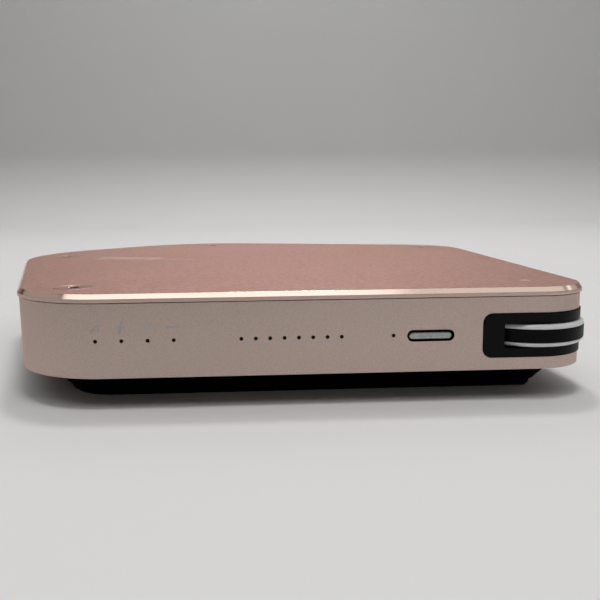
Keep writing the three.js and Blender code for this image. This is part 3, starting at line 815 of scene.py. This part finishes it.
def makeBezel():
    b = bezel
    w = window
    outer = body["inset"] - b["proud"]
    low, high = w["low"] + b["gap"], w["high"] - b["gap"]
    bm = cornerBand(outer, b["inner"] - outer, w["reach"] - b["gap"], low, high, w["endRound"])
    back = body["inset"] + body["wall"] + b["gap"]
    reach = w["reach"] + b["lip"]
    lip = cornerBand(back, b["inner"] - back, reach, b["lipLow"], b["lipHigh"], b["lipRound"])
    bm = joined(bm, lip)
    low, high = b["slotLow"], b["slotHigh"]
    slot = cornerBand(-mm, b["inner"] + 2 * mm, b["slotReach"], low, high, b["slotRound"])
    room = addRod(bmesh.new(), (wheelX, wheelY, low), (wheelX, wheelY, high), b["roomR"], segments=96)
    bm = carve(bm, slot, room)
    makePiece("cornerBezel", bm, ["bezel"], "housing", ["corner_bezel"], b["edge"], 3)


def makeWheel():
    coreLow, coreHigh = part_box("wheel_core")
    bandLow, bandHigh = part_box("wheel_band")
    w = wheel
    turns = [i * 9 * degree for i in range(11)]
    rim = [(w["r"] - w["round"] * (1 - math.sin(a)), w["round"] * (1 - math.cos(a))) for a in turns]
    core = [
        (w["boreR"], coreLow.z),
        *((r, coreLow.z + drop) for r, drop in rim),
        (w["grooveR"], bandLow.z - w["gap"]),
        (w["grooveR"], bandHigh.z + w["gap"]),
        *((r, coreHigh.z - drop) for r, drop in reversed(rim)),
        (w["boreR"], coreHigh.z),
        (w["boreR"], coreLow.z),
    ]
    inner = w["grooveR"] + w["gap"]
    band = [
        (inner, bandLow.z),
        (w["r"], bandLow.z),
        (w["r"], bandHigh.z),
        (inner, bandHigh.z),
        (inner, bandLow.z),
    ]
    bm = turned(wheelX, wheelY, core, w["steps"])
    makePiece("wheelCore", bm, ["wheel"], "wheel", ["wheel_core"], w["coreEdge"])
    bm = turned(wheelX, wheelY, band, w["steps"])
    makePiece("wheelBand", bm, ["band"], "wheel", ["wheel_band"], w["bandEdge"], 3)


makeBezel()
makeWheel()
print("wheel made")


# ---- Power button ----


def makeButton():
    b = button
    matrix = placed(Vector((b["x"], buttonHigh.y, b["z"] - b["drop"])), 0, math.pi / 2)
    cap = block(b["width"], b["tall"], buttonHigh.y - buttonLow.y, b["tall"] / 2, matrix, steps=14)
    rim = [e for e in cap.edges if all(abs(v.co.y - buttonLow.y) < 1e-6 for v in e.verts)]
    bmesh.ops.bevel(cap, geom=rim, affect="EDGES", offset=b["round"], segments=6, profile=0.5, material=-1)
    width = b["width"] + 2 * b["flangeEnds"]
    tall = b["tall"] + 2 * b["flangeSides"]
    flange = block(width, tall, b["flangeDepth"], tall / 2, matrix)
    makePiece("powerButton", joined(cap, flange), ["button"], "button", ["power_button"])


makeButton()
print("button made")


# ---- Materials of the CAD pieces that stay ----

kept = {
    "paleRose": ["wheel_axle"],
    "steel": ["tact_switch", "usb_a_1_shell", "usb_a_2_shell", "usb_c_shell"]
    + [f"base_screw_{i}" for i in range(1, 5)]
    + [f"board_screw_{i}" for i in range(1, 4)],
    "brass": ["wheel_bush"],
    "blackPlastic": ["axle_spacer", "switch_plunger", "usb_a_1_tongue", "usb_a_2_tongue", "usb_c_tongue"],
    "board": ["main_board", "port_board", "encoder_board", "protection_board"],
    "chip": ["controller_chip", "converter_chip", "hall_sensor"],
    "lens": ["status_light_guide", "gauge_light_guide", "power_light_guide"],
    "lamp": ["gauge_led_array", "power_led"] + [f"status_led_{i}" for i in range(1, 5)],
    "ferrite": ["wheel_magnet", "power_inductor_1", "power_inductor_2"],
    "foil": ["lower_cell", "upper_cell", "output_capacitor_1", "output_capacitor_2"],
    "foam": ["cell_spacer", "cell_foam"],
    "redWire": ["lead_positive"],
    "blackWire": ["lead_negative", "board_cable"],
}
for lookName, nodeNames in kept.items():
    for nodeName in nodeNames:
        node = frame["nodes"][nodeName]
        for place in node.material_slots:
            place.material = looks[lookName]
print("kept nodes dressed")


# ---- Floor, lights and camera ----

studio = {"floorY": 0.68, "wallHeight": 0.45, "left": -0.8, "right": 2.0, "front": -1.2, "bend": 0.1}


def makeStudio():
    s = studio
    bm = bmesh.new()
    ends = [bm.verts.new((x, s["front"], 0)) for x in (s["left"], s["right"])]
    edge = bm.edges.new(ends)
    grown = bmesh.ops.extrude_edge_only(bm, edges=[edge])
    tip = [g for g in grown["geom"] if isinstance(g, bmesh.types.BMVert)]
    bmesh.ops.translate(bm, verts=tip, vec=(0, s["floorY"] - s["front"], 0))
    edge = next(g for g in grown["geom"] if isinstance(g, bmesh.types.BMEdge))
    made = bmesh.ops.spin(
        bm,
        geom=[*edge.verts, edge],
        cent=(0, s["floorY"], s["bend"]),
        axis=(1, 0, 0),
        angle=math.pi / 2,
        steps=24,
    )
    edge = next(g for g in made["geom_last"] if isinstance(g, bmesh.types.BMEdge))
    grown = bmesh.ops.extrude_edge_only(bm, edges=[edge])
    tip = [g for g in grown["geom"] if isinstance(g, bmesh.types.BMVert)]
    bmesh.ops.translate(bm, verts=tip, vec=(0, 0, s["wallHeight"]))
    sweep = asObject(bm, "floor")
    sweep.data.shade_smooth()
    look = Look("paleFloor", roughness=0.75, specularIORLevel=0.2)
    cloud = look.noise(look.coordinates(), 9.0, 3.0)
    height = look.node("SeparateXYZ", {}, {"Vector": look.coordinates()}, out="Z")
    floor = look.mix(cloud, (0.785, 0.775, 0.77), (0.805, 0.795, 0.79))
    wall = look.mix(cloud, (0.56, 0.558, 0.545), (0.58, 0.578, 0.565))
    look.set(baseColor=look.mix(look.ramp(height * 8, (0.02, 0.0), (0.75, 1.0)), floor, wall))
    sweep.data.materials.append(look.material)


# Each light's name, place, target, size and the brightness of its face
softBoxes = [
    ("overheadBox", (-0.395, -0.545, 1.2), (-0.395, -0.545, 0), (1.39, 0.61), 1.3),
    ("rightBox", (0.97, -0.5, 1.2), (0.97, -0.5, 0), (1.3, 0.8), 0.7),
    ("farRightBox", (3.1, 1.4, 1.2), (3.1, 1.4, 0), (3.0, 3.7), 0.42),
    ("leftBox", (-2.4, 1.3, 1.2), (-2.4, 1.3, 0), (2.5, 3.3), 0.3),
    ("backCeiling", (0.8, 0.42, 1.5), (0.8, 0.42, 0), (3.6, 0.5), 0.8),
    ("lamp", (0.05, -0.15, 1.1), (0.05, -0.15, 0), (0.17, 0.17), 30),
    ("rearLamp", (0.03, 0.41, 1.1), (0.03, 0, 0), (0.16, 0.16), 34),
    ("backBox", (0.02, 0.6, 0.62), (0, 0, 0), (0.5, 0.3), 1.5),
    ("rightFill", (0.6, -1.2, 0.4), (0, 0, 0), (0.9, 0.6), 0.6),
]
surround = {"shade": 0.8, "strength": 0.06}
view = {
    "lens": 40.8,
    "sensor": 36,
    "nearest": 0.01,
    "at": (-60.82, -117.48, 37.35 * mm),
    "yaw": 3.14,
    "pitch": 8.784,
    "roll": -0.542,
}


def makeLights():
    for name, location, target, size, brightness in softBoxes:
        data = bpy.data.lights.new(name, "AREA")
        data.shape = "RECTANGLE"
        data.size, data.size_y = size
        data.energy = brightness * math.pi * size[0] * size[1]
        light = bpy.data.objects.new(name, data)
        light.location = location
        light.rotation_euler = (Vector(target) - light.location).to_track_quat("-Z", "Y").to_euler()
        scene.collection.objects.link(light)


def makeWorld():
    world = bpy.data.worlds.new("studio")
    world.use_nodes = True
    scene.world = world
    background = world.node_tree.nodes["Background"]
    shade = surround["shade"]
    background.inputs["Color"].default_value = (shade, shade, shade, 1)
    background.inputs["Strength"].default_value = surround["strength"]


def makeCamera():
    data = bpy.data.cameras.new("camera")
    data.lens = view["lens"]
    data.sensor_width = view["sensor"]
    data.clip_start = view["nearest"]
    camera = bpy.data.objects.new("camera", data)
    turn = Matrix.Rotation(-view["yaw"] * degree, 4, "Z")
    tilt = Matrix.Rotation((90 - view["pitch"]) * degree, 4, "X")
    roll = Matrix.Rotation(view["roll"] * degree, 4, "Z")
    camera.matrix_world = Matrix.Translation(planPoint(*view["at"])) @ turn @ tilt @ roll
    scene.collection.objects.link(camera)
    scene.camera = camera


makeStudio()
makeLights()
makeWorld()
makeCamera()
scene.view_settings.view_transform = "Standard"
print("studio ready")
